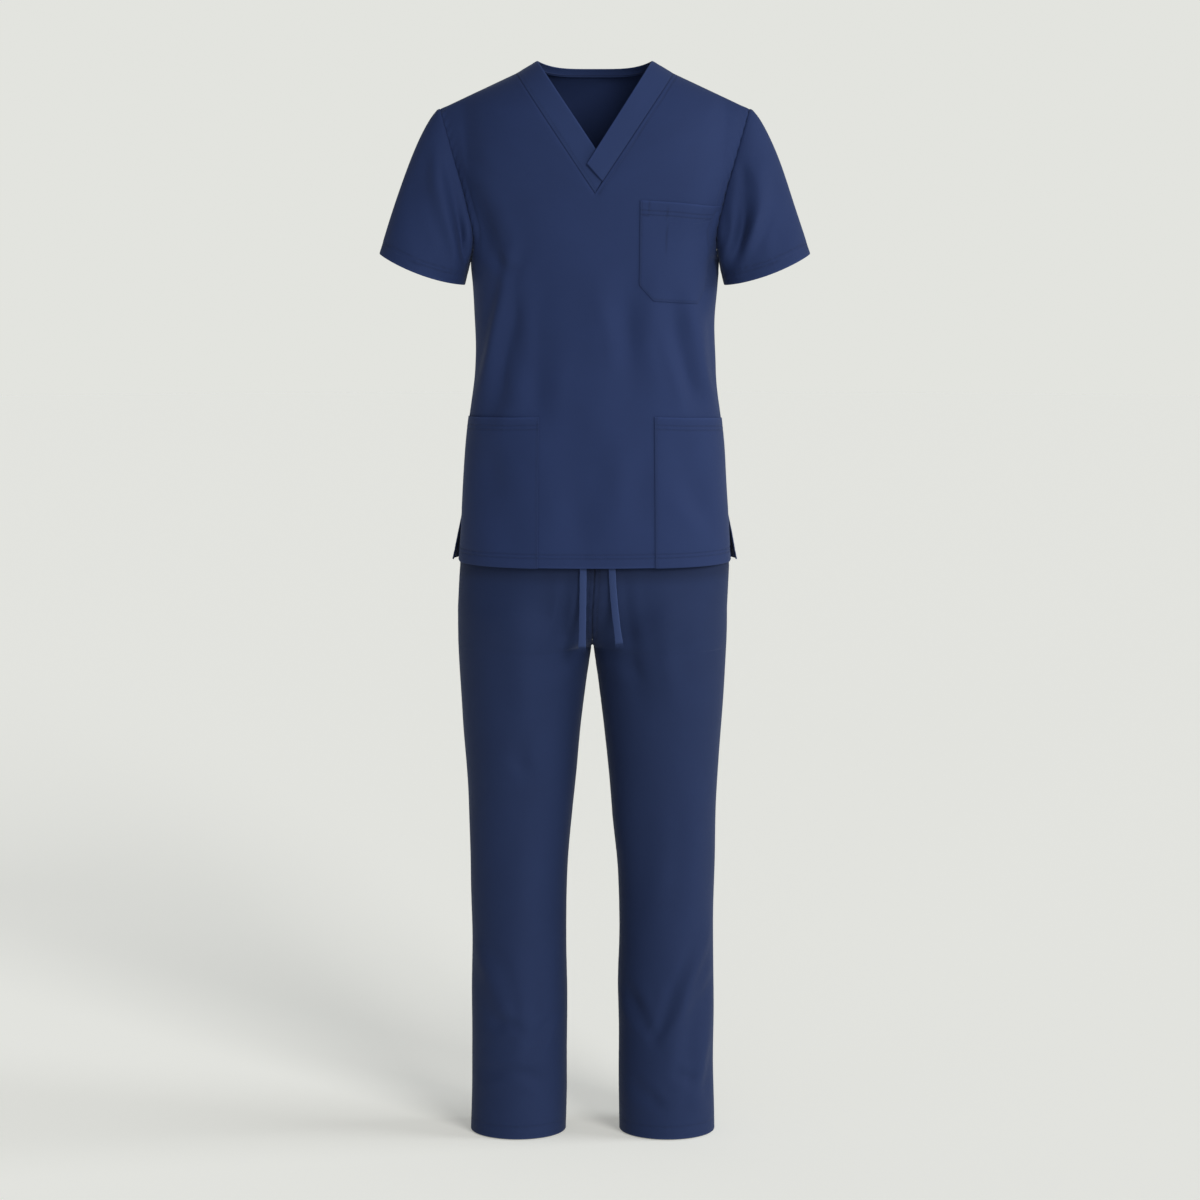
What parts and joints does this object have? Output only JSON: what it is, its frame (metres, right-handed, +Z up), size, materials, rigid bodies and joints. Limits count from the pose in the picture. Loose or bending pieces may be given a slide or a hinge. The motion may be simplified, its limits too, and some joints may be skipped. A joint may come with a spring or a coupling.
{
  "type": "medical scrubs",
  "caption": "Navy medical scrubs, filled out as worn: a short-sleeved V-neck top with a chest pocket and hip pockets, and straight drawstring trousers.",
  "frame": {"origin": "midway between the two high shoulder points of the top, where the wearer's shoulders carry it", "axes": "+Z up the wearer, +X towards the wearer's left, -Y the way the wearer faces"},
  "size_m": [0.622, 0.254, 1.566],
  "materials": {
    "top_front": "matt plain-woven twill cloth with a faint sheen",
    "top_back": "matt plain-woven twill cloth with a faint sheen",
    "sleeve_left": "matt plain-woven twill cloth with a faint sheen",
    "sleeve_right": "matt plain-woven twill cloth with a faint sheen",
    "neckband_left": "matt plain-woven twill cloth with a faint sheen",
    "neckband_right": "matt plain-woven twill cloth with a faint sheen",
    "neckband_back": "matt plain-woven twill cloth with a faint sheen",
    "chest_pocket": "matt plain-woven twill cloth with a faint sheen",
    "hip_pocket_left": "matt plain-woven twill cloth with a faint sheen",
    "hip_pocket_right": "matt plain-woven twill cloth with a faint sheen",
    "pants_front_left": "matt plain-woven twill cloth with a faint sheen",
    "pants_front_right": "matt plain-woven twill cloth with a faint sheen",
    "pants_back_left": "matt plain-woven twill cloth with a faint sheen",
    "pants_back_right": "matt plain-woven twill cloth with a faint sheen",
    "waistband": "plain woven cloth, folded casing",
    "drawstring_left": "flat woven tape",
    "drawstring_right": "flat woven tape"
  },
  "bodies": {
    "root": {"top_front": "top_front", "top_back": "top_back", "sleeve_left": "sleeve_left", "sleeve_right": "sleeve_right", "neckband_left": "neckband_left", "neckband_right": "neckband_right", "neckband_back": "neckband_back", "chest_pocket": "chest_pocket", "hip_pocket_left": "hip_pocket_left", "hip_pocket_right": "hip_pocket_right", "pants_front_left": "pants_front_left", "pants_front_right": "pants_front_right", "pants_back_left": "pants_back_left", "pants_back_right": "pants_back_right", "waistband": "waistband", "drawstring_left": "drawstring_left", "drawstring_right": "drawstring_right"}
  },
  "joints": []
}
